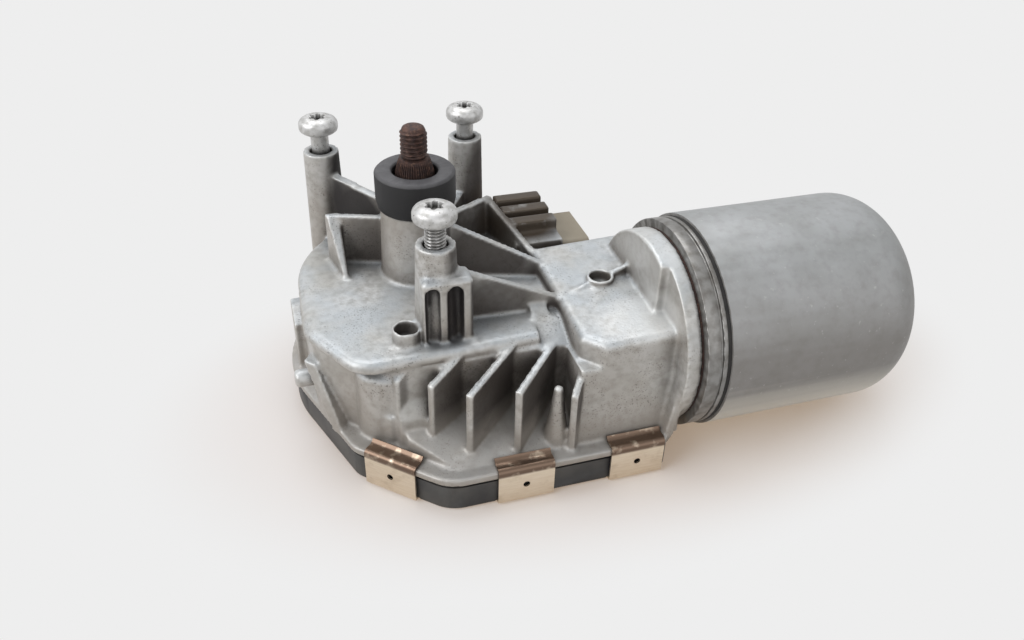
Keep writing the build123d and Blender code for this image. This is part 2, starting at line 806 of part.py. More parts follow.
def sensor_magnet():
    return disc(6.0, hub_bottom - magnet_height, hub_bottom)


def output_bushes():
    return Compound([
        tube(bush_outer, output_radius + running_gap, low, high).solid()
        for low, high in (lower_bush, upper_bush)
    ])


def thrust_washer():
    washer_top = washer_level + washer_thickness
    return tube(bush_outer - running_gap, output_radius + running_gap, washer_level, washer_top)


def retaining_ring():
    low, high = ring_level + 0.05, ring_level + ring_thickness - 0.05
    ring = tube(output_radius + 1.6, output_radius - 0.55, low, high)
    opening = Pos(output_radius, 0, ring_level) * Box(6.0, 4.0, 4.0)
    return ring - opening


cap_wall = 1.8
cap_mouth_radius = 6.7


def seal_cap():
    """A rubber cup over the boss, its mouth just clear of the cone, its skirt drawn in below."""
    low = cap_top_height - cap_height
    profile = Polyline(
        (boss_top_radius + 0.05, low), (boss_top_radius + 0.7, low), (cap_radius, low + 2.6),
        (cap_radius, cap_top_height - 0.8), (cap_radius - 0.8, cap_top_height),
        (cap_mouth_radius + 0.6, cap_top_height), (cap_mouth_radius, cap_top_height - 0.6),
        (cap_mouth_radius, cap_top_height - cap_wall - 1.0),
        (bush_outer + 1.6, cap_top_height - cap_wall - 1.0),
        (bush_outer + 1.6, output_boss_height + 0.05), (boss_top_radius + 0.05, output_boss_height + 0.05),
        close=True,
    )
    return revolve(Plane.XZ * make_face(profile), Axis.Z)


def mounting_screws():
    screws = []
    for index, (post_x, post_y, _) in enumerate(post_sites()):
        head_base = screw_head_bases[index]
        low = head_base - screw_length
        shank = disc(screw_radius, low, head_base + 0.1, post_x, post_y)
        head = disc(screw_head_radius, head_base, head_base + screw_head_height, post_x, post_y)
        crown = head.faces().sort_by(Axis.Z)[-1].edges()
        head = chamfer(crown, 1.0)
        recess = Pos(post_x, post_y, head_base + screw_head_height) * Cylinder(2.4, 4.0)
        screws.append((shank + head - recess).solid())
    return Compound(screws)


screw_head_bases = [post_height + 6.1, post_height + 5.6, post_height + 6.4]


# ---- motor side ----
ring_start_x = neck_end_x + 0.6
ring_lip_x = 71.0


def end_ring():
    """The steel end shield: a rim between the neck and the can, with a spigot inside each."""
    ring = motor_ring(end_ring_radius, brush_chamber_radius - 2.0, ring_start_x, can_start_x - 1.0)
    ring += motor_ring(magnet_outer - 0.1, brush_chamber_radius - 2.0, can_start_x - 1.2, can_start_x + 3.0)
    spigot, opening = brush_chamber_radius - 0.1, brush_chamber_radius - 2.0
    ring += motor_ring(spigot, opening, neck_end_x - 2.0, ring_start_x + 0.1)
    groove = motor_ring(end_ring_radius + 1, end_ring_radius - 0.7, ring_lip_x - 0.8, ring_lip_x)
    return ring - groove


def neck_gasket():
    return motor_ring(neck_radius - 0.2, brush_chamber_radius + 0.1, neck_end_x, ring_start_x)


def can_seal_ring():
    return motor_ring(end_ring_radius, magnet_outer + 0.02, can_start_x - 1.0, can_start_x)


dent_radius = 3.4
dent_width = 10.0
dent_angles = (-83.5, 96.5)


def motor_can():
    outline = Polyline(
        (0, can_start_x), (can_radius, can_start_x), (can_radius, can_end_x), (0, can_end_x), close=True,
    )
    shell = on_motor_axis(revolve(Plane.XZ * make_face(outline), Axis.Z))
    shell = fillet(shell.faces().sort_by(Axis.X)[-1].edges(), can_corner)
    inner_end = can_end_x - can_wall
    bore = fillet(along_motor(magnet_outer, can_start_x - 1, inner_end).faces().sort_by(Axis.X)[-1].edges(),
                  can_corner - can_wall)
    bump_end = can_end_x + can_bump_length
    step = along_motor(can_step_radius, can_end_x - 2, can_end_x + can_step_length)
    shell += fillet(step.faces().sort_by(Axis.X)[-1].edges(), 1.5)
    bump = along_motor(can_bump_radius, can_end_x - 2, bump_end)
    shell += fillet(bump.faces().sort_by(Axis.X)[-1].edges(), 2.0)
    shell -= bore
    shell -= along_motor(can_bump_radius - can_wall, inner_end - 1, bump_end - 1.4)
    dent = Rot(90, 0, 0) * Cylinder(dent_radius, dent_width)
    lining = Rot(90, 0, 0) * Cylinder(dent_radius + can_wall, dent_width) - dent
    for angle in dent_angles:
        turn = Rot(0, 0, angle) * Pos(can_radius - 1.4, 0, can_end_x - 1.8)
        shell -= on_motor_axis(turn * dent)
        shell += on_motor_axis(turn * lining) & solid_can()
    return shell


def solid_can():
    blank = along_motor(can_radius, can_start_x, can_end_x)
    return fillet(blank.faces().sort_by(Axis.X)[-1].edges(), can_corner)


def field_magnets():
    start = core_centre_x - magnet_length / 2
    magnets = []
    for index in range(magnet_count):
        ring = motor_ring(magnet_outer - 0.05, magnet_inner, start, start + magnet_length)
        slice_face = Polyline((0, 0), *[
            (60 * cos(radians(a)), 60 * sin(radians(a)))
            for a in (-magnet_arc / 2, 0, magnet_arc / 2)
        ], close=True)
        wedge = Pos(0, 0, start - 1) * extrude(make_face(slice_face), magnet_length + 2)
        turn = 45.0 + index * 360 / magnet_count
        magnets.append((ring & on_motor_axis(Rot(0, 0, turn) * wedge)).solid())
    return Compound(magnets)


rear_bush_x = can_end_x - 3.0
rear_bush_end_x = can_end_x + can_bump_length - 1.6


def rear_bush():
    return motor_ring(can_bump_radius - can_wall - seat_gap, armature_radius + running_gap,
                      rear_bush_x, rear_bush_end_x)


def front_bush():
    return motor_ring(journal_radius + bush_wall, journal_radius + running_gap,
                      front_bush_x, front_bush_x + front_bush_length)


def thrust_pad():
    return along_motor(pad_radius, thrust_pad_x - end_play - pad_length + seat_gap, thrust_pad_x - end_play)


commutator_start_x = neck_end_x + 1.2


def brush_plate():
    start = neck_end_x - brush_chamber_depth + 0.2
    plate = motor_ring(brush_chamber_radius - 2.3, commutator_radius + 2.0, start, start + 2.0)
    return plate


brush_sides = (90.0, 270.0)
brush_inner = commutator_radius + 0.2
holder_wall = 0.8
brush_x = commutator_start_x + commutator_length / 2


def placed_brush_box(width, height, low, high, angle):
    block = Pos((low + high) / 2, 0, brush_x) * Box(high - low, width, height)
    return on_motor_axis(Rot(0, 0, angle) * block)


def carbon_brushes():
    return Compound([
        placed_brush_box(brush_width, brush_height, brush_inner, brush_inner + brush_length - 3, a).solid()
        for a in brush_sides
    ])


def brush_holders():
    holders = []
    low = brush_inner + 1.5
    high = brush_inner + brush_length + 1.0
    gap = 0.1
    plate_face = neck_end_x - brush_chamber_depth + 2.2
    for angle in brush_sides:
        width, height = brush_width + 2 * holder_wall, brush_height + 2 * holder_wall
        outer = placed_brush_box(width, height, low, high, angle)
        width, height = brush_width + 2 * gap, brush_height + 2 * gap
        inner = placed_brush_box(width, height, low - 1, high - holder_wall, angle)
        foot_start = plate_face
        foot_end = brush_x - brush_height / 2 - holder_wall + 0.1
        foot = Pos((low + high) / 2 + 1, 0, (foot_start + foot_end) / 2)
        foot = foot * Box(6.0, brush_width, foot_end - foot_start)
        holders.append((outer + on_motor_axis(Rot(0, 0, angle) * foot) - inner).solid())
    return Compound(holders)


def brush_springs():
    """Coil springs that push the brushes onto the commutator, drawn as plain sleeves."""
    low = brush_inner + brush_length - 3
    high = brush_inner + brush_length + 1.0 - holder_wall
    springs = []
    for angle in brush_sides:
        sleeve = Rot(0, 90, 0) * (Cylinder(2.2, high - low) - Cylinder(1.4, high - low + 2))
        sleeve = Pos((low + high) / 2, 0, brush_x) * sleeve
        springs.append(on_motor_axis(Rot(0, 0, angle) * sleeve).solid())
    return Compound(springs)


def bearing_outer_race():
    middle = bearing_start_x + bearing_width / 2
    race = motor_ring(bearing_outer, bearing_outer_ring, bearing_start_x, bearing_start_x + bearing_width)
    groove = on_motor_axis(Pos(0, 0, middle) * Torus(ball_ring, ball_radius + 0.1))
    return race - groove


ball_radius = 1.9
ball_ring = (bearing_inner_ring + bearing_outer_ring) / 2
ball_count = 7


def bearing_balls():
    middle = bearing_start_x + bearing_width / 2
    balls = []
    for index in range(ball_count):
        angle = radians(index * 360 / ball_count)
        ball = Pos(ball_ring * cos(angle), ball_ring * sin(angle), middle) * Sphere(ball_radius)
        balls.append(on_motor_axis(ball).solid())
    return Compound(balls)


def bearing_inner_race():
    middle = bearing_start_x + bearing_width / 2
    start, end = bearing_start_x, bearing_start_x + bearing_width
    race = motor_ring(bearing_inner_ring, armature_radius + seat_gap, start, end)
    return race - on_motor_axis(Pos(0, 0, middle) * Torus(ball_ring, ball_radius + 0.1))


def armature_shaft():
    shaft = along_motor(journal_radius, thrust_pad_x, 0)
    shaft += along_motor(worm_root_radius, -worm_half_length - 1, worm_half_length + 1)
    shaft += along_motor(armature_radius, worm_half_length + 1, rear_bush_end_x - 0.6)
    return shaft + worm_thread()


def worm_thread():
    """One right-hand thread, swept along its helix as a trapezoid that matches the wheel's teeth."""
    root_half, tip_half = tooth_outline()
    sink = 0.4
    inner = worm_root_radius - sink
    slope = tan(radians(pressure_angle))
    base_half = root_half + sink * slope
    length = 2 * worm_half_length
    helix = Helix(worm_pitch, length, worm_pitch_radius)
    face = make_face(Polyline(
        (inner, -base_half), (worm_radius, -tip_half),
        (worm_radius, tip_half), (inner, base_half), close=True,
    ))
    section = Plane.XZ * face
    thread = sweep(section, path=helix, is_frenet=True)
    thread = on_motor_axis(Rot(0, 0, worm_phase) * Pos(0, 0, -worm_half_length) * thread)
    return thread & along_motor(worm_radius + 1, -worm_half_length, worm_half_length)


# turns the thread so that a gap faces the wheel's first tooth, at X = 0
worm_phase = -90.0 - 180.0 * worm_turns


def armature_core():
    start, end = core_centre_x - core_length / 2, core_centre_x + core_length / 2
    core = Pos(0, 0, start) * extrude(Circle(core_radius), end - start)
    for index in range(core_slots):
        angle = index * 360 / core_slots
        slot = Pos(core_radius - 5.5, 0, (start + end) / 2) * Cylinder(3.0, core_length + 2)
        mouth = Pos(core_radius - 1.5, 0, (start + end) / 2) * Box(8.0, 2.0, core_length + 2)
        core -= Rot(0, 0, angle) * (slot + mouth)
    core -= Pos(0, 0, start - 1) * extrude(Circle(armature_radius + seat_gap), core_length + 2)
    return on_motor_axis(core)


def armature_windings():
    """Copper in the slots and the two rounded end turns."""
    start, end = core_centre_x - core_length / 2, core_centre_x + core_length / 2
    coils = Part()
    for low, high in ((start - winding_overhang, start - 0.1), (end + 0.1, end + winding_overhang)):
        ring = Circle(core_radius - 1.5) - Circle(armature_radius + 2.5)
        coil = Pos(0, 0, low) * extrude(ring, high - low)
        coils += fillet(coil.edges(), 1.5)
    for index in range(core_slots):
        angle = index * 360 / core_slots
        wire = Pos(core_radius - 5.5, 0, core_centre_x) * Cylinder(2.8, core_length + 2)
        coils += Rot(0, 0, angle) * wire
    return on_motor_axis(coils)


def commutator():
    low, high = commutator_start_x, commutator_start_x + commutator_length
    bars = Pos(0, 0, low) * extrude(Circle(commutator_radius) - Circle(commutator_radius - 2.4), high - low)
    for index in range(commutator_bars):
        cut = Pos(commutator_radius, 0, (low + high) / 2) * Box(6.0, 0.6, high - low + 2)
        bars -= Rot(0, 0, (index + 0.5) * 360 / commutator_bars) * cut
    return Compound([on_motor_axis(bar).solid() for bar in bars.solids()])


def commutator_hub():
    low, high = commutator_start_x + 0.5, commutator_start_x + commutator_length - 0.5
    return motor_ring(commutator_radius - 2.42, armature_radius + seat_gap, low, high)


NODES = {
    "gear_housing": gear_housing,
    "bottom_cover": bottom_cover,
    "cover_gasket": cover_gasket,
    "retaining_clips": retaining_clips,
    "circuit_board": circuit_board,
    "board_components": board_components,
    "filter_capacitors": filter_capacitors,
    "filter_choke": filter_choke,
    "connector_shell": connector_shell,
    "connector_pins": connector_pins,
    "output_shaft": output_shaft,
    "worm_wheel": worm_wheel,
    "sensor_magnet": sensor_magnet,
    "output_bushes": output_bushes,
    "thrust_washer": thrust_washer,
    "retaining_ring": retaining_ring,
    "seal_cap": seal_cap,
    "mounting_screws": mounting_screws,
    "motor_can": motor_can,
    "end_ring": end_ring,
    "neck_gasket": neck_gasket,
    "can_seal_ring": can_seal_ring,
    "field_magnets": field_magnets,
    "rear_bush": rear_bush,
    "front_bush": front_bush,
    "thrust_pad": thrust_pad,
    "brush_plate": brush_plate,
    "carbon_brushes": carbon_brushes,
    "brush_holders": brush_holders,
    "brush_springs": brush_springs,
    "bearing_outer_race": bearing_outer_race,
    "bearing_balls": bearing_balls,
    "bearing_inner_race": bearing_inner_race,
    "armature_shaft": armature_shaft,
    "armature_core": armature_core,
    "armature_windings": armature_windings,
    "commutator": commutator,
    "commutator_hub": commutator_hub,
}

os.makedirs("parts", exist_ok=True)
for name, make in NODES.items():
    export_step(Pos(0, 0, -post_height) * make(), f"parts/{name}.step")
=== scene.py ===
from math import atan2, cos, pi, radians, sin

import bmesh
import bpy
from mathutils import Matrix, Vector


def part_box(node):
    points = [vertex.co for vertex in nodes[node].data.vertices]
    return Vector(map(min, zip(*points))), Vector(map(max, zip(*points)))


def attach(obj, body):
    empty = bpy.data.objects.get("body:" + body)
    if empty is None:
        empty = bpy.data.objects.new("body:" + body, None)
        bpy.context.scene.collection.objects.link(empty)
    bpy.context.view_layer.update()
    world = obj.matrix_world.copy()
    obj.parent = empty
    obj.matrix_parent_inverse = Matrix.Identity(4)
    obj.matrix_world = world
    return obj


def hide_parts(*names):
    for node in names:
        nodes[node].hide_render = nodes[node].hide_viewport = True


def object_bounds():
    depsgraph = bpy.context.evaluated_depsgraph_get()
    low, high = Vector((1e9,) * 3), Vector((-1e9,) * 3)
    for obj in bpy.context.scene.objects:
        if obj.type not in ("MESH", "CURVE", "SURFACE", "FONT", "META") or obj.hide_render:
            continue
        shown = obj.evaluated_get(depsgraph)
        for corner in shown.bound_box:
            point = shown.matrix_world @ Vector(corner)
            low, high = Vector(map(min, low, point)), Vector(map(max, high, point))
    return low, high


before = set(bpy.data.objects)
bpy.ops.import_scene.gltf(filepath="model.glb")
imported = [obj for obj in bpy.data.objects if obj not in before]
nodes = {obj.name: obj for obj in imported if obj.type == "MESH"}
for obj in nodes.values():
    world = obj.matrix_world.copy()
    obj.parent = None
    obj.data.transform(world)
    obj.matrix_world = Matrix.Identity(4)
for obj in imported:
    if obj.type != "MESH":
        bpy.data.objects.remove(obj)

cad_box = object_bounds()


# ---- White card, lamps and camera ----
# A sheet of white card lies under the motor and fades into the backdrop. A wide soft lamp stands at the
# left, a second hangs above and behind, and a weak one fills the front.
mm = 0.001
scene = bpy.context.scene
scene.view_settings.view_transform = "Standard"


def linear(code):
    """A colour written as #rrggbb, as linear light with full opacity."""
    shares = [int(code[i:i + 2], 16) / 255 for i in (1, 3, 5)]
    return (*[s / 12.92 if s <= 0.04045 else ((s + 0.055) / 1.055) ** 2.4 for s in shares], 1.0)


def add(tree, kind, sockets=None, **settings):
    """Adds one node; a value in sockets that is another node, or one of its outputs, becomes a link."""
    made = tree.nodes.new(kind)
    for name, value in settings.items():
        setattr(made, name, value)
    for key, value in (sockets or {}).items():
        if isinstance(value, bpy.types.Node):
            value = value.outputs[0]
        if isinstance(value, bpy.types.NodeSocket):
            tree.links.new(value, made.inputs[key])
        else:
            made.inputs[key].default_value = value
    return made


def seen_directly(tree):
    """1 for camera, mirror and glass rays, which see the pale colour itself, and 0 for light that bounces."""
    path = add(tree, "ShaderNodeLightPath")
    seen = add(tree, "ShaderNodeMath", {
        0: path.outputs["Is Camera Ray"], 1: path.outputs["Is Glossy Ray"]}, operation="MAXIMUM")
    return add(tree, "ShaderNodeMath", {0: seen, 1: path.outputs["Is Transmission Ray"]}, operation="MAXIMUM")


def hollows(tree, distance, open_level, closed_level, samples=8):
    """0 on an open surface and 1 in corners and hollows up to distance in millimetres across."""
    shade = add(tree, "ShaderNodeAmbientOcclusion", {"Distance": distance * mm}, samples=samples)
    return add(tree, "ShaderNodeMapRange", {
        "Value": shade.outputs["AO"], "From Min": open_level, "From Max": closed_level})


card_colour = linear("#eeeeee")
room_light = 0.38
world = bpy.data.worlds.new("pale_room")
scene.world = world
world.use_nodes = True
sky = world.node_tree
sky.nodes.clear()
level = add(sky, "ShaderNodeMapRange", {"Value": seen_directly(sky), "To Min": room_light})
backdrop = add(sky, "ShaderNodeBackground", {"Color": card_colour, "Strength": level})
add(sky, "ShaderNodeOutputWorld", {"Surface": backdrop})

# Near the motor the card is lit by the lamps, so that it takes the motor's shadow, and a warm glow of its own
# keeps that shadow brown; the glow is dimmed where the motor hems the card in, a painted contact shadow.
# Further out it has the colour of the backdrop. The fade is in half lengths of the motor's box.
fade_start, fade_end = 0.95, 1.6
card_material = bpy.data.materials.new("white_card")
card_material.use_nodes = True
tree = card_material.node_tree
tree.nodes.clear()
# The glow's strength: painted contact shadow, dimmer where the motor closes over the card.
glow_with_painted_shadow = add(tree, "ShaderNodeMapRange", {
    "Value": hollows(tree, 22.0, 0.9, 0.35), "To Min": 1.0, "To Max": 0.85})
glow = add(tree, "ShaderNodeEmission", {"Color": linear("#9c8469"), "Strength": glow_with_painted_shadow})
paper = add(tree, "ShaderNodeBsdfDiffuse", {"Color": linear("#b3bdc8")})
near = add(tree, "ShaderNodeAddShader", {0: glow, 1: paper})
far = add(tree, "ShaderNodeEmission", {"Color": card_colour})
middle = (cad_box[0] + cad_box[1]) / 2
half_size = (cad_box[1] - cad_box[0]) / 2
centred = add(tree, "ShaderNodeMapping", {
    "Vector": add(tree, "ShaderNodeTexCoord").outputs["Object"],
    "Location": (-middle.x / half_size.x, -middle.y / half_size.y, 0.0),
    "Scale": (1 / half_size.x, 1 / half_size.y, 0.0)})
away = add(tree, "ShaderNodeVectorMath", {0: centred}, operation="LENGTH")
fade = {"Value": away.outputs["Value"], "From Min": fade_start, "From Max": fade_end}
distance = add(tree, "ShaderNodeMapRange", fade, interpolation_type="SMOOTHSTEP")
seen_card = add(tree, "ShaderNodeMixShader", {0: distance, 1: near, 2: far})
bounced = add(tree, "ShaderNodeBsdfDiffuse", {"Color": linear("#e4ddd3")})
card_mix = add(tree, "ShaderNodeMixShader", {0: seen_directly(tree), 1: bounced, 2: seen_card})
add(tree, "ShaderNodeOutputMaterial", {"Surface": card_mix})

card_size = 2.4
card_gap = 0.05 * mm
corners = [(x * card_size, y * card_size, 0) for x, y in ((-1, -1), (1, -1), (1, 1), (-1, 1))]
card_mesh = bpy.data.meshes.new("white_card")
card_mesh.from_pydata(corners, [], [(0, 1, 2, 3)])
card = bpy.data.objects.new("white_card", card_mesh)
card.location.z = cad_box[0].z - card_gap
card.data.materials.append(card_material)
scene.collection.objects.link(card)

# Each lamp's direction as seen from the motor, how many degrees wide it is, and its level.
lamps = {
    "left_window": ((-0.80, -0.10, 0.62), 45.0, 1.7),
    "ceiling": ((-0.05, 0.45, 0.90), 40.0, 1.15),
    "front_fill": ((0.25, -0.92, 0.30), 60.0, 0.55),
}
for name, (direction, width, power) in lamps.items():
    lamp = bpy.data.lights.new(name, "SUN")
    lamp.angle = radians(width)
    lamp.energy = power
    holder = bpy.data.objects.new(name, lamp)
    holder.rotation_euler = (-Vector(direction)).to_track_quat("-Z", "Y").to_euler()
    scene.collection.objects.link(holder)

# The camera stands in front of the posts, to the left, and looks down on the deck.
camera_place = Vector((-46.3, -238.4, 122.3)) * mm
heading, tilt, roll = 0.3328, 0.6111, 0.0387
forward = Vector((sin(heading) * cos(tilt), cos(heading) * cos(tilt), -sin(tilt)))
sideways = Vector((cos(heading), -sin(heading), 0))
upright = sideways.cross(forward)
right = cos(roll) * sideways + sin(roll) * upright
up = cos(roll) * upright - sin(roll) * sideways
camera_data = bpy.data.cameras.new("camera")
camera_data.sensor_width = 36.0
camera_data.lens = 31.88
camera_data.shift_x = -0.0139
camera_data.shift_y = -0.0005
camera_data.clip_start = 0.01
camera = bpy.data.objects.new("camera", camera_data)
camera.matrix_world = Matrix.Translation(camera_place) @ Matrix((right, up, -forward)).transposed().to_4x4()
scene.collection.objects.link(camera)
scene.camera = camera


# ---- Gear housing ----
# One pressure die casting in aluminium. Its edges are rounded by the die, its faces are faintly pitted, and
# oily road dirt has settled in the corners and on the upright walls, darkened further with painted shade there
# and on the walls that face right; its convex edges are lighter, partly wear and partly painted highlight.
def per_mm(size):
    """The pattern scale that gives features of this size in millimetres on Object coordinates."""
    return 1000.0 / size


def new_surface(name, colour, roughness, metallic=0.0):
    """A material with one Principled shader, its tree, the shader node and the object's own coordinates."""
    material = bpy.data.materials.new(name)
    material.use_nodes = True
    tree = material.node_tree
    shader = tree.nodes["Principled BSDF"]
    shader.inputs["Base Color"].default_value = linear(colour)
    shader.inputs["Roughness"].default_value = roughness
    shader.inputs["Metallic"].default_value = metallic
    place = add(tree, "ShaderNodeTexCoord").outputs["Object"]
    return material, tree, shader, place


def blotches(tree, place, size, low=0.4, high=0.6, detail=4.0):
    """A 0 to 1 mask of soft patches about this many millimetres across."""
    noise = add(tree, "ShaderNodeTexNoise", {"Vector": place, "Scale": per_mm(size), "Detail": detail})
    return add(tree, "ShaderNodeMapRange", {"Value": noise, "From Min": low, "From Max": high})


def coated(tree, under, over, masks, share=1.0):
    """The colour under with over laid on it by share, where all the masks are 1.

    Each colour is a #rrggbb code or another node's colour output.
    """
    for mask in masks:
        share = add(tree, "ShaderNodeMath", {0: mask, 1: share}, operation="MULTIPLY")
    below, above = [linear(colour) if isinstance(colour, str) else colour for colour in (under, over)]
    return add(tree, "ShaderNodeMix", {0: share, 6: below, 7: above}, data_type="RGBA").outputs[2]


def grained(tree, shader, place, size, detail, depth, strength):
    """Grain about size across that stands out by depth, both in millimetres.

    The real grain is finer than a render shows, so each size is as coarse as it takes to be seen.
    """
    noise = add(tree, "ShaderNodeTexNoise", {"Vector": place, "Scale": per_mm(size), "Detail": detail})
    bump = add(tree, "ShaderNodeBump", {"Height": noise, "Distance": depth * mm, "Strength": strength})
    tree.links.new(bump.outputs[0], shader.inputs["Normal"])


def facing_up(tree, low, high):
    """0 to 1 as how far the surface faces up goes from low to high: 1 is level, and -1 faces the ground."""
    facing = add(tree, "ShaderNodeSeparateXYZ", {0: add(tree, "ShaderNodeNewGeometry").outputs["Normal"]})
    return add(tree, "ShaderNodeMapRange", {"Value": facing.outputs["Z"], "From Min": low, "From Max": high})


def near_place(tree, place, centre, reach):
    """1 about a point of the casting, falling to 0 at reach, both in millimetres."""
    centre, reach = Vector(centre) * mm, Vector(reach) * mm
    moved = add(tree, "ShaderNodeVectorMath", {0: place, 1: centre}, operation="SUBTRACT")
    sized = add(tree, "ShaderNodeVectorMath", {0: moved, 1: reach}, operation="DIVIDE")
    length = add(tree, "ShaderNodeVectorMath", {0: sized}, operation="LENGTH")
    return add(tree, "ShaderNodeMapRange", {
        "Value": length.outputs["Value"], "From Min": 1.0, "From Max": 0.6})


# Dark patches on the upright faces of one place, partly dirt and partly painted shade, and films that cover
# all
# its faces: what lies there, its share, and the place's centre and reach in millimetres.
grease_and_shade, soot_and_shade, dried_mud, road_film, bare_metal = "#1f1b1b", "#38322f", "#463c31", "#9b958e", "#eeefee"
upright_dirt_and_shade = [
    (grease_and_shade, 0.97, (-12.0, 20.0, -18.0), (14.0, 18.0, 18.0)),
    (grease_and_shade, 0.97, (-17.0, 28.0, -14.0), (7.0, 9.0, 24.0)),
    (soot_and_shade, 0.85, (27.0, 28.0, -20.0), (8.0, 10.0, 26.0)),
    (soot_and_shade, 0.88, (19.0, -12.0, -20.0), (18.0, 17.0, 15.0)),
    (soot_and_shade, 0.92, (33.5, -22.0, -31.0), (4.5, 28.0, 10.0)),
    (soot_and_shade, 0.7, (17.0, -31.0, -22.0), (13.0, 7.0, 9.0)),
]
films = [
    (road_film, 0.65, (20.0, -20.0, -60.0), (150.0, 150.0, 16.0)),
    (bare_metal, 0.4, (54.0, -50.0, -22.0), (17.0, 14.0, 7.0)),
    (bare_metal, 0.3, (62.0, -30.0, -8.0), (8.0, 26.0, 17.0)),
    (dried_mud, 1.0, (38.0, 17.0, -22.0), (18.0, 24.0, 12.0)),
]
flute_middle, flute_reach = (-1.0, -41.0, -16.0), (10.0, 7.5, 18.0)


def oxide_and_side_shade(tree, place, steep, sideways_share):
    """The casting's grey: clouded, bluish where level, browner on walls, painted shade on walls facing right.
    """
    level_share = add(tree, "ShaderNodeMath", {0: 1.0, 1: steep}, operation="SUBTRACT")
    right_side_shade = add(tree, "ShaderNodeMapRange", {"Value": sideways_share, "From Min": 0.1, "From Max": 0.6})
    skin = coated(tree, "#cbcccc", "#b4b4b1", [blotches(tree, place, 16.0, 0.35, 0.65)])
    skin = coated(tree, skin, "#a3a29f", [blotches(tree, place, 2.2, 0.42, 0.7, 6.0)])
    skin = coated(tree, skin, "#b2bac1", [level_share, blotches(tree, place, 12.0, 0.35, 0.62)], 0.65)
    skin = coated(tree, skin, "#978d83", [steep, blotches(tree, place, 22.0, 0.2, 0.7)], 0.7)
    # Painted shade on upright faces that turn to the right, away from the left lamp.
    return coated(tree, skin, "#3a3431", [right_side_shade, steep, blotches(tree, place, 12.0, 0.05, 0.45)], 0.85)


def die_cast_aluminium():
    """Cast aluminium: satin grey, clouded oxide, fine black pits, and oily dirt with painted shade in its
    corners.
    """
    material, tree, shader, place = new_surface("die_cast_aluminium", "#b8b8b5", 0.45, 0.3)
    geometry = add(tree, "ShaderNodeNewGeometry")
    facing = add(tree, "ShaderNodeSeparateXYZ", {0: geometry.outputs["Normal"]})
    steep = facing_up(tree, 0.75, 0.1)
    skin = oxide_and_side_shade(tree, place, steep, facing.outputs["X"])

    # Oily dirt and painted shade in hollows up to 14 mm across, more on the walls; the same mask dulls the
    # metal.
    wall_weight = add(tree, "ShaderNodeMapRange", {"Value": steep, "To Min": 0.45})
    dirt_and_hollow_shade = add(tree, "ShaderNodeMath", {
        0: hollows(tree, 14.0, 0.82, 0.38), 1: blotches(tree, place, 8.0, 0.05, 0.5)}, operation="MULTIPLY")
    dirt_and_hollow_shade = add(tree, "ShaderNodeMath", {0: dirt_and_hollow_shade, 1: wall_weight}, operation="MULTIPLY")
    skin = coated(tree, skin, "#38322e", [dirt_and_hollow_shade], 0.92)
    # Painted shade, nearly black, in narrow corners, with a little dirt.
    corners = hollows(tree, 2.5, 0.78, 0.42, 6)
    skin = coated(tree, skin, "#1c1714", [corners, blotches(tree, place, 3.0, 0.15, 0.5)], 0.92)
    pits = blotches(tree, place, 0.5, 0.6, 0.7, 1.0)
    skin = coated(tree, skin, "#2f2926", [pits, blotches(tree, place, 11.0, 0.46, 0.6)], 0.55)
    # Lighter convex edges: partly rubbed wear and partly painted highlight.
    worn = add(tree, "ShaderNodeMapRange", {
        "Value": geometry.outputs["Pointiness"], "From Min": 0.52, "From Max": 0.58})
    skin = coated(tree, skin, "#dededc", [worn, blotches(tree, place, 4.0, 0.25, 0.55)], 0.85)

    # Dark smears on upright faces at listed places: partly grease and soot, partly painted shade on faces
    # turned from the light.
    for colour, share, centre, reach in upright_dirt_and_shade:
        smear_and_shade = add(tree, "ShaderNodeMath", {
            0: near_place(tree, place, centre, reach), 1: steep}, operation="MULTIPLY")
        smear_and_shade = add(tree, "ShaderNodeMath", {0: smear_and_shade, 1: share}, operation="MULTIPLY")
        skin = coated(tree, skin, colour, [smear_and_shade])
        dirt_and_hollow_shade = add(tree, "ShaderNodeMath", {0: dirt_and_hollow_shade, 1: smear_and_shade}, operation="MAXIMUM")
    # Painted shade deep in the flutes of the front post's apron.
    flute_shade = near_place(tree, place, flute_middle, flute_reach)
    skin = coated(tree, skin, grease_and_shade, [flute_shade, hollows(tree, 6.0, 0.95, 0.72)])
    for colour, share, centre, reach in films:
        where = near_place(tree, place, centre, reach)
        skin = coated(tree, skin, colour, [where, blotches(tree, place, 6.0, 0.1, 0.4)], share)

    dull = add(tree, "ShaderNodeMapRange", {"Value": dirt_and_hollow_shade, "To Min": 0.42, "To Max": 0.75})
    bare = add(tree, "ShaderNodeMapRange", {"Value": dirt_and_hollow_shade, "To Min": 0.35, "To Max": 0.0})
    tree.links.new(skin, shader.inputs["Base Color"])
    tree.links.new(dull.outputs[0], shader.inputs["Roughness"])
    tree.links.new(bare.outputs[0], shader.inputs["Metallic"])
    grained(tree, shader, place, 0.9, 3.0, 0.12, 0.6)
    return material


def placed(name, mesh):
    """A new object in the scene that holds this mesh."""
    piece = bpy.data.objects.new(name, mesh)
    scene.collection.objects.link(piece)
    return piece


def copy_of(node, name):
    """A copy of a CAD node's mesh, with its loose triangles joined."""
    body = bmesh.new()
    body.from_mesh(nodes[node].data)
    bmesh.ops.remove_doubles(body, verts=body.verts, dist=0.002 * mm)
    mesh = bpy.data.meshes.new(name)
    body.to_mesh(mesh)
    body.free()
    mesh.materials.clear()
    return placed(name, mesh)


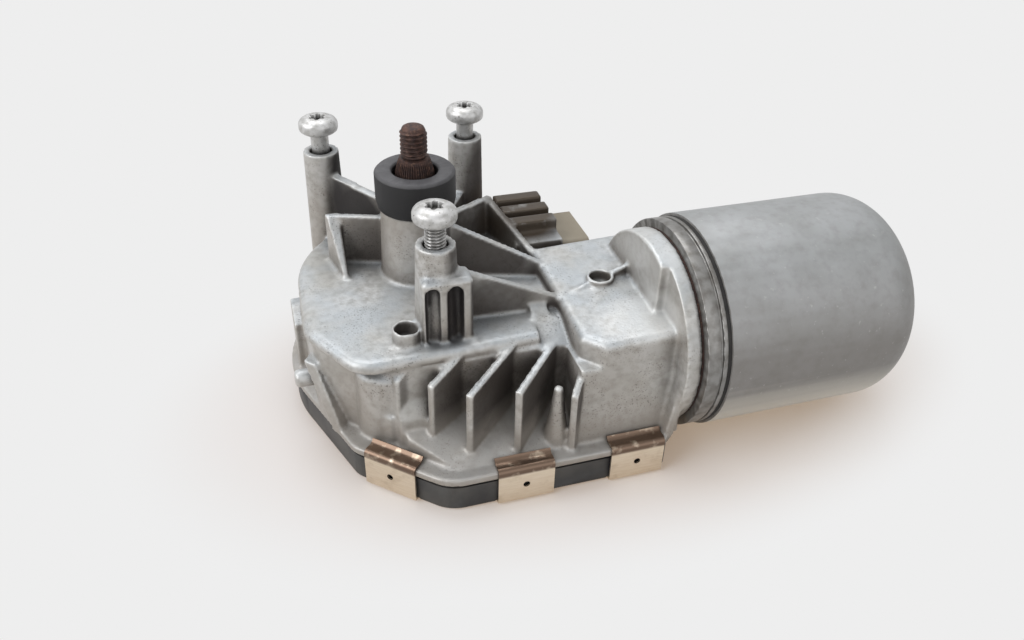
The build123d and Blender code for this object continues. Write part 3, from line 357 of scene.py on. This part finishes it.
def settled(piece):
    """Applies the piece's modifiers to its mesh."""
    bpy.context.view_layer.update()
    evaluated = piece.evaluated_get(bpy.context.evaluated_depsgraph_get())
    mesh = bpy.data.meshes.new_from_object(evaluated)
    mesh.name = piece.name
    piece.modifiers.clear()
    piece.data = mesh
    return piece


def smooth(piece, crease=180.0):
    """Shades the piece smooth, apart from edges sharper than crease in degrees."""
    piece.data.shade_smooth()
    if crease < 180.0:
        piece.data.set_sharp_from_angle(angle=radians(crease))
    return piece


def finish_piece(piece, material, body, stands_for):
    """Gives a piece its material, and sets it on its body in place of a CAD node."""
    piece.data.materials.clear()
    piece.data.materials.append(material)
    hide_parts(stands_for)
    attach(piece, body)


casting_grain = 0.6
most_triangles = 190000
casting = copy_of("gear_housing", "die_cast_housing")
skin = casting.modifiers.new("skin", "REMESH")
skin.mode = "VOXEL"
skin.voxel_size = casting_grain * mm
relax = casting.modifiers.new("relax", "SMOOTH")
relax.factor = 0.5
relax.iterations = 3
settled(casting)
thin = casting.modifiers.new("thin", "DECIMATE")
thin.ratio = min(1.0, most_triangles / (len(casting.data.polygons) * 2))
smooth(settled(casting))
finish_piece(casting, die_cast_aluminium(), "root", "gear_housing")


# ---- Under cover and its gasket ----
# The cover is one black glass-filled nylon moulding, matt and dusty. A rubber ring is squeezed between it and
# the casting, and only its edge shows.
def dusty_moulding(name, colour, dust, roughness=0.5):
    """A moulded or pressed part: slightly waxy, with pale dust that clings in soft patches."""
    material, tree, shader, place = new_surface(name, colour, roughness)
    skin = coated(tree, colour, dust, [blotches(tree, place, 14.0, 0.35, 0.7)], 0.35)
    tree.links.new(skin, shader.inputs["Base Color"])
    grained(tree, shader, place, 0.6, 2.0, 0.05, 0.4)
    return material


def rounded_copy(node, name, edge, crease=32.0):
    """A CAD node's mesh with its sharp edges rounded by edge in millimetres."""
    piece = copy_of(node, name)
    round_off = piece.modifiers.new("edges", "BEVEL")
    round_off.limit_method = "ANGLE"
    round_off.angle_limit = radians(crease)
    round_off.width = edge * mm
    round_off.segments = 2
    round_off.use_clamp_overlap = True
    round_off.harden_normals = True
    return smooth(settled(piece), crease + 5)


cover = rounded_copy("bottom_cover", "under_cover", 0.35)
finish_piece(cover, dusty_moulding("moulded_black_nylon", "#2c2c2e", "#77756f"), "root",
             "bottom_cover")


def paint(node, material):
    """Gives a CAD node that stays as it is a material of its own."""
    data = nodes[node].data
    data.materials.clear()
    data.materials.append(material)


def nitrile_rubber():
    """Nitrile rubber: black and dull, with a grey bloom."""
    material, tree, shader, place = new_surface("nitrile_rubber", "#1c1b1b", 0.75)
    skin = coated(tree, "#1c1b1b", "#4a4845", [blotches(tree, place, 4.0, 0.35, 0.75)], 0.3)
    tree.links.new(skin, shader.inputs["Base Color"])
    grained(tree, shader, place, 0.5, 2.0, 0.04, 0.4)
    return material


nitrile = nitrile_rubber()
paint("cover_gasket", nitrile)


# ---- Retaining clips ----
# Each clip is a strip of polished stainless spring steel, folded over the casting's flange and under the
# cover. Its upper lip is rolled into a bead, coloured dark brown from the bead up, and its front has a small
# hole.
clip_width, clip_steel, clip_grip = 16.6, 0.6, 3.4
clip_hole, punch_length, clip_foot_z, roll_radius = 1.0, 6.0, -68.8, 1.5
lip_rise = 2.0
flange_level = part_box("retaining_clips")[1].z / mm - lip_rise


def polished_stainless():
    """Cold-rolled stainless: bright, with fine level rolling lines, and dark brown from its rolled bead up."""
    material, tree, shader, place = new_surface("polished_stainless", "#dccfbd", 0.3, 0.85)
    stretch = add(tree, "ShaderNodeMapping", {"Vector": place, "Scale": (1.0, 1.0, 14.0)})
    lines = add(tree, "ShaderNodeTexNoise", {"Vector": stretch, "Scale": per_mm(4.0), "Detail": 4.0})
    tint = coated(tree, "#e6dac8", "#cdbba2", [lines])
    tint = coated(tree, tint, "#9a8468", [blotches(tree, place, 5.0, 0.55, 0.75)], 0.4)
    height = add(tree, "ShaderNodeSeparateXYZ", {0: place})
    bead = add(tree, "ShaderNodeMapRange", {
        "Value": height.outputs["Z"],
        "From Min": (flange_level - 1.9) * mm, "From Max": (flange_level - 1.3) * mm})
    tint = coated(tree, tint, "#665245", [bead, blotches(tree, place, 3.0, 0.1, 0.45)], 0.95)
    tree.links.new(tint, shader.inputs["Base Color"])
    bump = add(tree, "ShaderNodeBump", {"Height": lines, "Distance": 0.02 * mm, "Strength": 0.3})
    tree.links.new(bump.outputs[0], shader.inputs["Normal"])
    return material


def standing_on_sites(name, piece, sites, finish):
    """Geometry Nodes: a copy of one piece on each site, turned about the upright, all as one plain mesh."""
    ground = bpy.data.meshes.new(name)
    ground.from_pydata([(x * mm, y * mm, z * mm) for x, y, z, _ in sites], [], [])
    turns = ground.attributes.new("turn", "FLOAT", "POINT")
    for index, (_, _, _, turn) in enumerate(sites):
        turns.data[index].value = turn
    standing = placed(name, ground)
    tree = bpy.data.node_groups.new(f"{name}_on_sites", "GeometryNodeTree")
    tree.interface.new_socket("Sites", in_out="INPUT", socket_type="NodeSocketGeometry")
    piece_socket = tree.interface.new_socket("Piece", in_out="INPUT", socket_type="NodeSocketObject")
    size_socket = tree.interface.new_socket("Size", in_out="INPUT", socket_type="NodeSocketFloat")
    finish_socket = tree.interface.new_socket("Finish", in_out="INPUT", socket_type="NodeSocketMaterial")
    tree.interface.new_socket("Standing pieces", in_out="OUTPUT", socket_type="NodeSocketGeometry")
    given = add(tree, "NodeGroupInput")
    shape = add(tree, "GeometryNodeObjectInfo", {"Object": given.outputs["Piece"]})
    turn = add(tree, "GeometryNodeInputNamedAttribute", {"Name": "turn"}, data_type="FLOAT")
    upright = add(tree, "ShaderNodeCombineXYZ", {"Z": turn.outputs["Attribute"]})
    standing_up = add(tree, "FunctionNodeEulerToRotation", {"Euler": upright})
    copies = add(tree, "GeometryNodeInstanceOnPoints", {
        "Points": given.outputs["Sites"], "Instance": shape.outputs["Geometry"],
        "Rotation": standing_up, "Scale": given.outputs["Size"]})
    solid = add(tree, "GeometryNodeRealizeInstances", {0: copies})
    dressed = add(tree, "GeometryNodeSetMaterial", {"Geometry": solid, "Material": given.outputs["Finish"]})
    add(tree, "NodeGroupOutput", {0: dressed})
    repeat = standing.modifiers.new("repeat", "NODES")
    repeat.node_group = tree
    repeat[piece_socket.identifier] = piece
    repeat[size_socket.identifier] = 1.0
    repeat[finish_socket.identifier] = finish
    settled(standing)
    bpy.data.objects.remove(piece)
    return standing


def clip_outline():
    """The strip's outer line: from its foot under the cover, up the front, round the roll and to the lip."""
    line = [(-clip_grip, clip_foot_z), (0.3, clip_foot_z), (0.55, clip_foot_z + 0.25)]
    line += [(0.55, flange_level - 1.5), (0.45, flange_level - 1.2)]
    roll_middle = (0.66 - roll_radius, flange_level - 0.6)
    for step in range(9):
        angle = radians(-25 + step * 125 / 8)
        line.append((roll_middle[0] + roll_radius * cos(angle), roll_middle[1] + roll_radius * sin(angle)))
    line += [(-clip_grip + 0.6, flange_level + 0.75), (-clip_grip - 0.2, flange_level + 1.1),
             (-clip_grip - 0.8, flange_level + 1.9)]
    return line


def strip_clip():
    """One clip: the outline given its thickness and width, with a round hole cut through the front."""
    outer = clip_outline()
    body = bmesh.new()
    columns = [-clip_width / 2 + clip_width * i / 8 for i in range(9)]
    rows = [[body.verts.new((x * mm, y * mm, z * mm)) for x, z in outer] for y in columns]
    for near, far in zip(rows, rows[1:]):
        for i in range(len(outer) - 1):
            body.faces.new((near[i], far[i], far[i + 1], near[i + 1]))
    mesh = bpy.data.meshes.new("clip")
    body.to_mesh(mesh)
    body.free()
    piece = placed("clip", mesh)
    sheet = piece.modifiers.new("sheet", "SOLIDIFY")
    sheet.thickness = clip_steel * mm
    sheet.offset = -1.0
    settled(piece)
    punch_mesh = bpy.data.meshes.new("punch")
    tool = bmesh.new()
    half_way_up = Matrix.Translation((0, 0, (clip_foot_z + flange_level) / 2 * mm))
    bmesh.ops.create_cone(tool, cap_ends=True, segments=24, radius1=clip_hole * mm, radius2=clip_hole * mm,
                          depth=punch_length * mm, matrix=half_way_up @ Matrix.Rotation(pi / 2, 4, "Y"))
    tool.to_mesh(punch_mesh)
    tool.free()
    punch = placed("punch", punch_mesh)
    cut = piece.modifiers.new("hole", "BOOLEAN")
    cut.object = punch
    cut.solver = "EXACT"
    settled(piece)
    bpy.data.objects.remove(punch)
    return piece


def clip_sites():
    """Where each clip of the CAD grips the flange: its edge point, and the turn that faces it outwards."""
    places = copy_of("retaining_clips", "clip_places")
    body = bmesh.new()
    body.from_mesh(places.data)
    bpy.data.objects.remove(places)
    cover_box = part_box("bottom_cover")
    middle_of_cover = (cover_box[0] + cover_box[1]).xy / 2
    waiting = dict.fromkeys(body.verts)
    sites = []
    while waiting:
        clip, open_verts = [], [waiting.popitem()[0]]
        while open_verts:
            vert = open_verts.pop()
            clip.append(vert.co.xy.copy())
            neighbours = [edge.other_vert(vert) for edge in vert.link_edges]
            fresh = [other for other in neighbours if other in waiting]
            for other in fresh:
                del waiting[other]
            open_verts += fresh
        middle = sum(clip, Vector((0, 0))) / len(clip)
        spread = [p - middle for p in clip]
        lean = atan2(2 * sum(p.x * p.y for p in spread), sum(p.x * p.x - p.y * p.y for p in spread)) / 2
        outward = Vector((sin(lean), -cos(lean)))
        if outward.dot(middle - middle_of_cover) < 0:
            outward.negate()
        along = Vector((-outward.y, outward.x))
        ends = [p.dot(along) for p in clip]
        edge = max(p.dot(outward) for p in clip) - 1.1 * clip_steel * mm
        place = outward * edge + along * (min(ends) + max(ends)) / 2
        sites.append((place.x / mm, place.y / mm, 0.0, atan2(outward.y, outward.x)))
    body.free()
    return sites


stainless = polished_stainless()
clips = standing_on_sites("spring_clips", strip_clip(), clip_sites(), stainless)
smooth(clips, 32.0)
finish_piece(clips, stainless, "root", "retaining_clips")


# ---- Output shaft ----
# A steel shaft with an M8 thread, a cone rolled with fine serrations that bite into the crank arm, and a coat
# of brown rust where it stands out of the cap.
def turned_mesh(name, rings, steps):
    """A closed skin through rings of points, each ring a list of the same length."""
    points = [point for ring in rings for point in ring]
    faces = []
    for r in range(len(rings) - 1):
        for s in range(steps):
            a, b = r * steps + s, r * steps + (s + 1) % steps
            faces.append((a, b, b + steps, a + steps))
    faces.append(tuple(range(steps - 1, -1, -1)))
    faces.append(tuple(range((len(rings) - 1) * steps, len(rings) * steps)))
    mesh = bpy.data.meshes.new(name)
    mesh.from_pydata([Vector(p) * mm for p in points], [], faces)
    body = bmesh.new()
    body.from_mesh(mesh)
    bmesh.ops.remove_doubles(body, verts=body.verts, dist=0.0005 * mm)
    bmesh.ops.recalc_face_normals(body, faces=body.faces)
    body.to_mesh(mesh)
    body.free()
    return placed(name, mesh)


def ring_at(z, steps, radius):
    """A level ring about the upright axis, where radius gives the radius at each step."""
    points = []
    for step in range(steps):
        angle = 2 * pi * step / steps
        points.append((radius(step) * cos(angle), radius(step) * sin(angle), z))
    return points


def plain_ring(radius, z, steps):
    return ring_at(z, steps, lambda step: radius)


def thread_height(share):
    """How far the thread stands out, 0 to 1, at this share of one pitch: a triangle with a flat root."""
    distance = abs((share % 1.0) - 0.5) * 2
    return max(0.0, min(1.0, 1.15 - 1.45 * distance))


def threaded_rings(low, high, major, minor, pitch, steps):
    """Rings up a screw thread about the upright axis, fading out at both ends."""
    rings = []
    levels = int((high - low) / (pitch / 8)) + 1
    for level in range(levels + 1):
        z = low + (high - low) * level / levels
        fade = max(0.0, min(1.0, (z - low) / pitch, (high - z) / (0.6 * pitch)))
        rings.append(ring_at(z, steps, lambda step: minor + (major - minor) * fade * thread_height(
            (z - low) / pitch - step / steps)))
    return rings


shaft_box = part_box("output_shaft")
shaft_tip = shaft_box[1].z / mm
shaft_foot = shaft_box[0].z / mm
shaft_radius = 6.0
cone_top_radius, cone_inset = 4.45, 0.1
thread_length = 9.4
thread_major, thread_minor, shaft_pitch = 3.95, 3.3, 1.25
cone_length = 6.0
cone_top = shaft_tip - thread_length
cone_foot = cone_top - cone_length
serrations, serration_height = 48, 0.16
shaft_steps = serrations * 4
rings = [plain_ring(0.2, shaft_foot, shaft_steps), plain_ring(shaft_radius, shaft_foot, shaft_steps)]
rings.append(plain_ring(shaft_radius, cone_foot - 1.0, shaft_steps))
for level in range(9):
    share = level / 8
    radius = shaft_radius - cone_inset + (cone_top_radius - shaft_radius) * share
    tooth = serration_height * min(1.0, 4 * share, 4 * (1 - share))
    rings.append(ring_at(cone_foot + cone_length * share, shaft_steps,
                         lambda step: radius + (tooth if step % 4 in (0, 1) else -tooth)))
rings += threaded_rings(cone_top + 0.2, shaft_tip - 0.9, thread_major, thread_minor, shaft_pitch, shaft_steps)
for radius, drop in ((3.35, 0.85), (3.1, 0.35), (2.7, 0.1), (2.1, 0.0), (0.2, 0.0)):
    rings.append(plain_ring(radius, shaft_tip - drop, shaft_steps))
spindle = turned_mesh("output_spindle", rings, shaft_steps)
smooth(spindle, 40.0)


def rusted_steel():
    """Bare steel gone brown: dark rust with lighter orange bloom, and painted shade in its grooves."""
    material, tree, shader, place = new_surface("rusted_steel", "#3a2a26", 0.6, 0.35)
    rust = coated(tree, "#352624", "#5a4037", [blotches(tree, place, 1.6, 0.35, 0.7, 6.0)])
    rust = coated(tree, rust, "#8a6a58", [blotches(tree, place, 0.8, 0.58, 0.7)], 0.5)
    # Painted shade, nearly black, in the thread's grooves and other narrow hollows.
    rust = coated(tree, rust, "#1a1210", [hollows(tree, 1.6, 0.85, 0.45, 6)], 0.8)
    tree.links.new(rust, shader.inputs["Base Color"])
    grained(tree, shader, place, 0.35, 4.0, 0.08, 0.6)
    return material


finish_piece(spindle, rusted_steel(), "output", "output_shaft")


# ---- Seal cap ----
# A moulded rubber cup pushed over the boss to keep water off the bearing. It is matt, with a rounded
# shoulder, and its top has greyed.
def weathered_rubber():
    """Rubber greyed by dust where it faces up and still black on its sides."""
    material, tree, shader, place = new_surface("weathered_rubber", "#4a494c", 0.6)
    top = coated(tree, "#57575a", "#48474a", [blotches(tree, place, 3.0, 0.35, 0.7)])
    tree.links.new(coated(tree, "#121113", top, [facing_up(tree, 0.35, 0.8)]), shader.inputs["Base Color"])
    grained(tree, shader, place, 0.5, 2.0, 0.04, 0.4)
    return material


cap = rounded_copy("seal_cap", "rubber_cap", 0.3, 30.0)
finish_piece(cap, weathered_rubber(), "root", "seal_cap")


# ---- Mounting screws ----
# Three zinc-plated M6 screws with pan heads and six-lobed recesses stand loose in the posts. The front one
# has its thread cut up to the head, and the other two have a smooth neck.
screw_length = 26.0
screw_major, screw_minor, screw_pitch, neck_radius = 2.95, 2.3, 1.0, 2.75
head_height = 5.0
head_outline = [(2.9, -0.2), (3.6, 0.0), (5.2, 0.4), (5.8, 0.9), (6.0, 1.5), (6.0, 2.9),
                (5.85, 3.5), (5.4, 4.1), (4.7, 4.55), (3.9, 4.85), (3.2, head_height)]
recess_radius, recess_depth = 2.35, 1.9
lobes, lobe_depth = 6, 0.42
screw_steps = 96
left_post, right_post, front_post = (-23.4, 32.3), (23.4, 32.3), (-1.8, -33.5)


def pan_head_screw(name, smooth_neck):
    """A screw whose head starts at height 0: a domed top, a tapered underside, a neck and a thread."""
    low = -screw_length
    rings = [plain_ring(0.3, low, screw_steps), plain_ring(1.9, low, screw_steps)]
    rings += threaded_rings(low + 0.6, -0.3 - smooth_neck, screw_major, screw_minor, screw_pitch, screw_steps)
    if smooth_neck:
        rings.append(plain_ring(neck_radius, 0.4 - smooth_neck, screw_steps))
        rings.append(plain_ring(neck_radius, -0.6, screw_steps))
    rings += [plain_ring(radius, z, screw_steps) for radius, z in head_outline]
    for narrower, depth in ((0.0, 0.0), (0.12, 0.15), (0.2, recess_depth)):
        rings.append(ring_at(head_height - depth, screw_steps, lambda step: (
            recess_radius - narrower + lobe_depth * cos(lobes * 2 * pi * step / screw_steps))))
    rings.append(plain_ring(0.3, head_height - recess_depth - 0.2, screw_steps))
    return turned_mesh(name, rings, screw_steps)


def zinc_plated_steel():
    """Zinc plating: bright bluish white, dull grey wear, a few dark specks, and painted shade in its grooves.
    """
    material, tree, shader, place = new_surface("zinc_plated_steel", "#c4c4c4", 0.42, 0.6)
    zinc = coated(tree, "#cdcdcd", "#a3a29f", [blotches(tree, place, 1.8, 0.4, 0.75, 6.0)])
    zinc = coated(tree, zinc, "#5c5853", [blotches(tree, place, 0.6, 0.64, 0.70)])
    # Painted shade in the thread grooves and the recess.
    zinc = coated(tree, zinc, "#3d3935", [hollows(tree, 1.6, 0.85, 0.45, 6)], 0.8)
    tree.links.new(zinc, shader.inputs["Base Color"])
    grained(tree, shader, place, 0.5, 3.0, 0.04, 0.5)
    return material


zinc = zinc_plated_steel()
rear_sites = [(*left_post, 6.1, 0.3), (*right_post, 5.6, 1.3)]
front_site = [(*front_post, 6.4, 2.3)]
neck_length = 11.0
necked_screw = pan_head_screw("neck_screw", neck_length)
smooth_necked = standing_on_sites("smooth_necked_screws", necked_screw, rear_sites, zinc)
threaded = standing_on_sites("threaded_screw", pan_head_screw("thread_screw", 0.0), front_site, zinc)
with bpy.context.temp_override(active_object=threaded, selected_editable_objects=[threaded, smooth_necked]):
    bpy.ops.object.join()
smooth(threaded, 38.0)
threaded.name = "pan_head_screws"
finish_piece(threaded, zinc, "root", "mounting_screws")


# ---- Motor can ----
# A can drawn from zinc-coated steel sheet. It is smooth and mottled grey, with painted shade round its sides
# and a painted reflection of the pale card on its underside, and has a stepped bearing seat in its closed end.
def galvanised_steel():
    """Zinc-coated sheet: satin grey, softly clouded, small scuffs; painted shade on its sides, painted light
    below.
    """
    material, tree, shader, place = new_surface("galvanised_sheet", "#8f9090", 0.5, 0.35)
    sheet = coated(tree, "#a6a8aa", "#969898", [blotches(tree, place, 14.0, 0.3, 0.7)])
    sheet = coated(tree, sheet, "#7b7976", [blotches(tree, place, 2.5, 0.45, 0.75, 6.0)], 0.3)
    # Painted shade on the sides, where the can turns away from the light above.
    sheet = coated(tree, sheet, "#6f6964", [facing_up(tree, 0.85, 0.1)], 0.62)
    # A painted reflection of the pale card on the underside.
    sheet = coated(tree, sheet, "#d0cdc6", [facing_up(tree, -0.15, -0.55)], 0.85)
    sheet = coated(tree, sheet, "#c9cac9", [blotches(tree, place, 1.4, 0.66, 0.74)], 0.3)
    tree.links.new(sheet, shader.inputs["Base Color"])
    uneven = add(tree, "ShaderNodeTexNoise", {"Vector": place, "Scale": per_mm(3.0), "Detail": 4.0})
    dull = add(tree, "ShaderNodeMapRange", {"Value": uneven, "To Min": 0.45, "To Max": 0.6})
    tree.links.new(dull.outputs[0], shader.inputs["Roughness"])
    bump = add(tree, "ShaderNodeBump", {"Height": uneven, "Distance": 0.04 * mm, "Strength": 0.4})
    tree.links.new(bump.outputs[0], shader.inputs["Normal"])
    return material


can = rounded_copy("motor_can", "drawn_motor_can", 0.3, 35.0)
finish_piece(can, galvanised_steel(), "root", "motor_can")


# ---- Rings at the neck ----
# From the casting to the can: a rusty paper gasket, the turned steel end shield with a bright lip, and a
# black seal.
def oiled_metal(name, colour, worn, roughness=0.4):
    """Turned, ground or pressed metal with a thin film of oil and faint darker stains."""
    material, tree, shader, place = new_surface(name, colour, roughness, 0.8)
    steel = coated(tree, colour, worn, [blotches(tree, place, 3.0, 0.4, 0.7)])
    tree.links.new(steel, shader.inputs["Base Color"])
    grained(tree, shader, place, 0.6, 3.0, 0.03, 0.4)
    return material


shield = rounded_copy("end_ring", "end_shield", 0.25, 30.0)
finish_piece(shield, oiled_metal("end_shield_steel", "#8d8c8a", "#6d6a66"), "root",
             "end_ring")
paint("neck_gasket", rusted_steel())
paint("can_seal_ring", nitrile)


# ---- Everything under the skins ----
# Bearings, gears, brushes, electronics and the connector behind the neck keep the shape of their parts and
# get the finish of their real material.
inner_finishes = [
    (oiled_metal("bearing_steel", "#a9a9a8", "#8b8a88", 0.25),
     ["thrust_washer", "retaining_ring", "brush_springs", "bearing_outer_race", "bearing_balls",
      "bearing_inner_race", "armature_shaft"]),
    (oiled_metal("core_laminations", "#57585b", "#3b3a3a", 0.5), ["armature_core"]),
    (oiled_metal("sintered_bronze", "#8f6b43", "#6d4f2f", 0.55),
     ["output_bushes", "rear_bush", "front_bush"]),
    (oiled_metal("enamelled_copper", "#9a5127", "#74391a", 0.35), ["armature_windings"]),
    (oiled_metal("turned_copper", "#b97a4e", "#8c5632", 0.3), ["commutator"]),
    (oiled_metal("tinned_brass", "#b9a878", "#97855a", 0.35), ["brush_holders", "connector_pins"]),
    (oiled_metal("capacitor_aluminium", "#a3a5aa", "#85878c", 0.35), ["filter_capacitors"]),
    (dusty_moulding("white_acetal", "#ded9cb", "#b9b09a", 0.4), ["worm_wheel", "thrust_pad"]),
    (dusty_moulding("pressed_ferrite", "#2a2a2c", "#3d3c3b", 0.6),
     ["field_magnets", "sensor_magnet", "filter_choke", "commutator_hub", "board_components"]),
    (dusty_moulding("pressed_carbon", "#1d1d1e", "#333231", 0.55), ["carbon_brushes"]),
    (dusty_moulding("green_laminate", "#21482c", "#46604a", 0.45), ["circuit_board", "brush_plate"]),
    (dusty_moulding("dusty_connector_nylon", "#8f8676", "#b3aa99", 0.6), ["connector_shell"]),
]
for material, painted_nodes in inner_finishes:
    for node in painted_nodes:
        paint(node, material)
